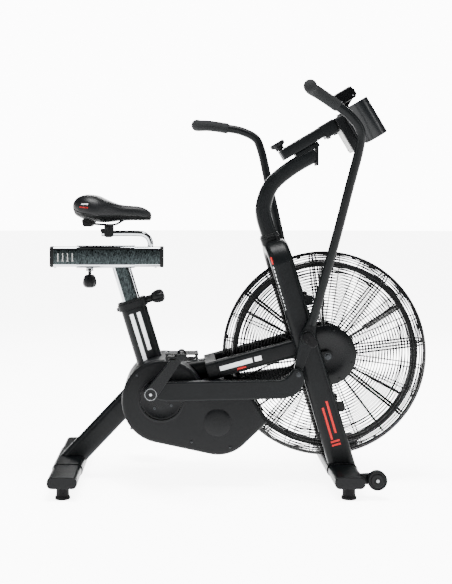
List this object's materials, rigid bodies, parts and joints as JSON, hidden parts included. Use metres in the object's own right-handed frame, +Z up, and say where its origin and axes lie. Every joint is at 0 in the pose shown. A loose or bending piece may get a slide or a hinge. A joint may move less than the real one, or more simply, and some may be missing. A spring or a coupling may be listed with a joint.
{
  "type": "air bike",
  "caption": "Upright fan exercise bike: cranks and swinging handles drive a caged fan wheel through two belts, on a tubular frame with adjustable saddle.",
  "frame": {"origin": "on the floor, under the middle of the bounding box", "axes": "+X forward towards the fan, +Y to the rider's left, +Z up"},
  "size_m": [1.294, 0.594, 1.3479],
  "materials": {
    "powder_coat": "satin",
    "chrome_plate": "polished",
    "zinc_steel": "satin",
    "cast_aluminium": "satin",
    "moulded_plastic": "matte",
    "gloss_plastic": "gloss",
    "black_rubber": "matte",
    "foam_grip": "matte",
    "saddle_vinyl": "satin"
  },
  "bodies": {
    "frame": {"rear_stabilizer": "powder_coat", "front_stabilizer": "powder_coat", "rear_leg": "powder_coat", "seat_tube": "powder_coat", "main_tube": "powder_coat", "fork_crown": "powder_coat", "console_mast": "powder_coat", "right_rail": "powder_coat", "left_rail": "powder_coat", "right_fork_leg": "powder_coat", "left_fork_leg": "powder_coat", "right_guard": "powder_coat", "left_guard": "powder_coat", "right_foot_peg": "powder_coat", "left_foot_peg": "powder_coat", "bottom_bracket_shell": "zinc_steel", "fan_axle": "zinc_steel", "right_belt_cover": "moulded_plastic", "left_belt_cover": "moulded_plastic", "crank_port_plate": "moulded_plastic", "seat_tube_collar": "moulded_plastic", "fan_belt": "black_rubber", "drive_belt": "black_rubber", "rear_right_foot": "black_rubber", "front_right_foot": "black_rubber", "rear_left_foot": "black_rubber", "front_left_foot": "black_rubber"},
    "crank": {"crankshaft": "zinc_steel", "drive_pulley": "cast_aluminium", "right_crank_arm": "powder_coat", "left_crank_arm": "powder_coat"},
    "jackshaft": {"jackshaft": "zinc_steel", "fan_drive_pulley": "cast_aluminium"},
    "fan": {"fan_wheel": "powder_coat", "fan_pulley": "zinc_steel"},
    "right_rod": {"right_push_rod": "powder_coat"},
    "left_rod": {"left_push_rod": "powder_coat"},
    "right_pedal": {"right_pedal": "moulded_plastic"},
    "left_pedal": {"left_pedal": "moulded_plastic"},
    "right_arm": {"right_handle_arm": "powder_coat", "right_grip": "foam_grip"},
    "left_arm": {"left_handle_arm": "powder_coat", "left_grip": "foam_grip"},
    "right_wheel": {"right_transport_wheel": "moulded_plastic"},
    "left_wheel": {"left_transport_wheel": "moulded_plastic"},
    "seat_post": {"seat_post": "chrome_plate"},
    "height_knob": {"seat_height_knob": "moulded_plastic"},
    "slide_knob": {"seat_slide_knob": "moulded_plastic"},
    "slider": {"seat_slider": "chrome_plate", "saddle_post": "chrome_plate", "saddle_clamp": "powder_coat"},
    "saddle": {"saddle": "saddle_vinyl", "saddle_rails": "powder_coat"},
    "boom": {"console_boom": "powder_coat", "console_housing": "moulded_plastic", "bottle_holder": "moulded_plastic"},
    "boom_knob": {"boom_knob": "moulded_plastic"},
    "display": {"display_pod": "gloss_plastic"},
    "button": {"display_button": "black_rubber"}
  },
  "joints": [
    {"name": "crank_spin", "type": "hinge", "parent": "frame", "child": "crank", "pos_m": [-0.261, 0, 0.293], "axis": [0, 1, 0], "continuous": true},
    {"name": "jackshaft_spin", "type": "hinge", "parent": "frame", "child": "jackshaft", "pos_m": [-0.074, 0, 0.214], "axis": [0, 1, 0], "continuous": true},
    {"name": "fan_spin", "type": "hinge", "parent": "frame", "child": "fan", "pos_m": [0.298, 0, 0.43], "axis": [0, 1, 0], "continuous": true},
    {"name": "right_rod_pivot", "type": "hinge", "parent": "crank", "child": "right_rod", "pos_m": [-0.29471, -0.17, 0.32128], "axis": [0, 1, 0], "continuous": true},
    {"name": "left_rod_pivot", "type": "hinge", "parent": "crank", "child": "left_rod", "pos_m": [-0.22729, 0.17, 0.26472], "axis": [0, 1, 0], "continuous": true},
    {"name": "right_pedal_spin", "type": "hinge", "parent": "crank", "child": "right_pedal", "pos_m": [-0.1935, -0.25, 0.455], "axis": [0, 1, 0], "continuous": true},
    {"name": "left_pedal_spin", "type": "hinge", "parent": "crank", "child": "left_pedal", "pos_m": [-0.3285, 0.25, 0.131], "axis": [0, 1, 0], "continuous": true},
    {"name": "right_arm_swing", "type": "hinge", "parent": "frame", "child": "right_arm", "pos_m": [0.223, -0.14, 0.5], "axis": [0, 1, 0], "range_deg": [-25.5, 0]},
    {"name": "left_arm_swing", "type": "hinge", "parent": "frame", "child": "left_arm", "pos_m": [0.223, 0.14, 0.5], "axis": [0, 1, 0], "range_deg": [0, 25.5]},
    {"name": "right_wheel_roll", "type": "hinge", "parent": "frame", "child": "right_wheel", "pos_m": [0.429, -0.278, 0.062], "axis": [0, 1, 0], "continuous": true},
    {"name": "left_wheel_roll", "type": "hinge", "parent": "frame", "child": "left_wheel", "pos_m": [0.429, 0.278, 0.062], "axis": [0, 1, 0], "continuous": true},
    {"name": "seat_height", "type": "slide", "parent": "frame", "child": "seat_post", "axis": [-0.293, 0, 0.9561], "range_m": [-0.07, 0.06]},
    {"name": "height_knob_pull", "type": "slide", "parent": "frame", "child": "height_knob", "axis": [0.9561, 0, 0.293], "range_m": [0, 0.012], "stiffness_N_per_m": 800, "springref_m": -0.005},
    {"name": "seat_fore_aft", "type": "slide", "parent": "seat_post", "child": "slider", "axis": [1, 0, 0], "range_m": [-0.035, 0.07]},
    {"name": "slide_knob_pull", "type": "slide", "parent": "seat_post", "child": "slide_knob", "axis": [0, 0, -1], "range_m": [0, 0.012], "stiffness_N_per_m": 800, "springref_m": -0.005},
    {"name": "saddle_tilt", "type": "hinge", "parent": "slider", "child": "saddle", "pos_m": [-0.45, 0, 0.862], "axis": [0, 1, 0], "range_deg": [-8, 8]},
    {"name": "boom_slide", "type": "slide", "parent": "frame", "child": "boom", "axis": [0.861, 0, 0.5086], "range_m": [-0.028, 0.04]},
    {"name": "boom_knob_turn", "type": "hinge", "parent": "boom", "child": "boom_knob", "pos_m": [0.14847, 0, 1.12858], "axis": [-0.5086, 0, 0.861], "range_deg": [0, 180]},
    {"name": "display_tilt", "type": "hinge", "parent": "boom", "child": "display", "pos_m": [0.37807, 0.038, 1.28453], "axis": [0, 1, 0], "range_deg": [-15, 15]},
    {"name": "button_press", "type": "slide", "parent": "display", "child": "button", "axis": [0.5086, 0, -0.861], "range_m": [0, 0.0015], "stiffness_N_per_m": 400, "springref_m": -0.001}
  ],
  "couplings": [
    {"joint": "jackshaft_spin", "follows": "crank_spin", "ratio": 3.0588},
    {"joint": "fan_spin", "follows": "crank_spin", "ratio": 7.2101},
    {"joint": "right_rod_pivot", "follows": "crank_spin", "ratio": -1},
    {"joint": "left_rod_pivot", "follows": "crank_spin", "ratio": -1},
    {"joint": "left_arm_swing", "follows": "right_arm_swing", "ratio": -1}
  ]
}
